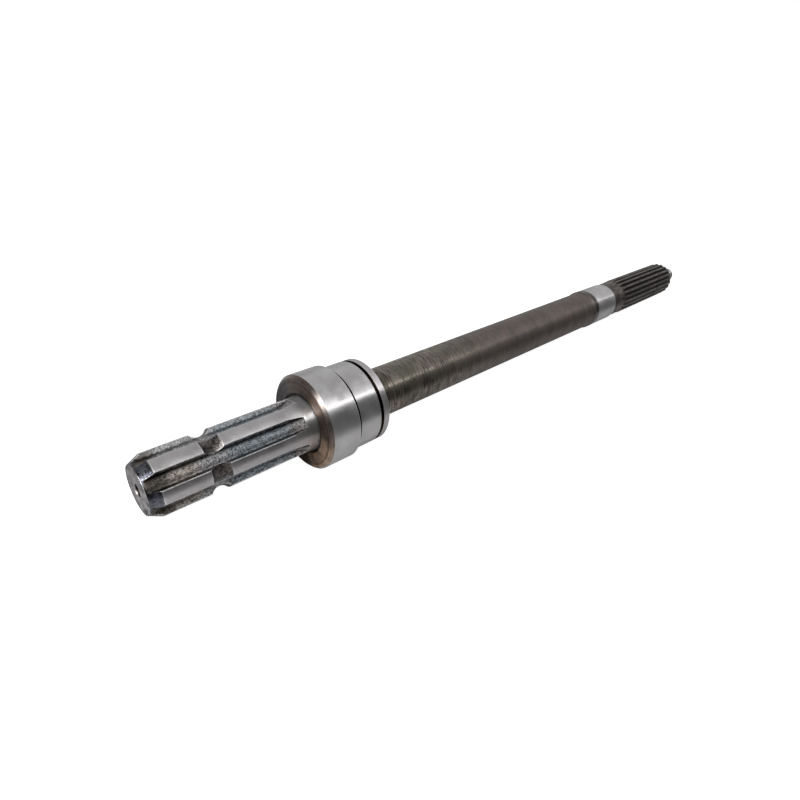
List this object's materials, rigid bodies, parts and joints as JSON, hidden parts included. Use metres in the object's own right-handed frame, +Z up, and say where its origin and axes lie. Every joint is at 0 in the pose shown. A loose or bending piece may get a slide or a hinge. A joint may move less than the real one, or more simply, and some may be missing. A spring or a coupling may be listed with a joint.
{
  "type": "power take-off shaft",
  "caption": "Solid steel drive shaft: straight-sided splines with a lock groove for the yoke, a stepped collar for a seal and a bearing, a long shank, a far journal, fine splines and a pilot.",
  "frame": {"origin": "on the shaft's axis, at the middle of the bearing seat", "axes": "+X along the shaft's axis from the yoke end to the fine-splined end, +Z up, +Y to the side"},
  "size_m": [0.6338, 0.0616, 0.0617],
  "materials": {
    "steel": "turned and ground"
  },
  "bodies": {
    "root": {"pto_shaft": "steel"}
  },
  "joints": []
}
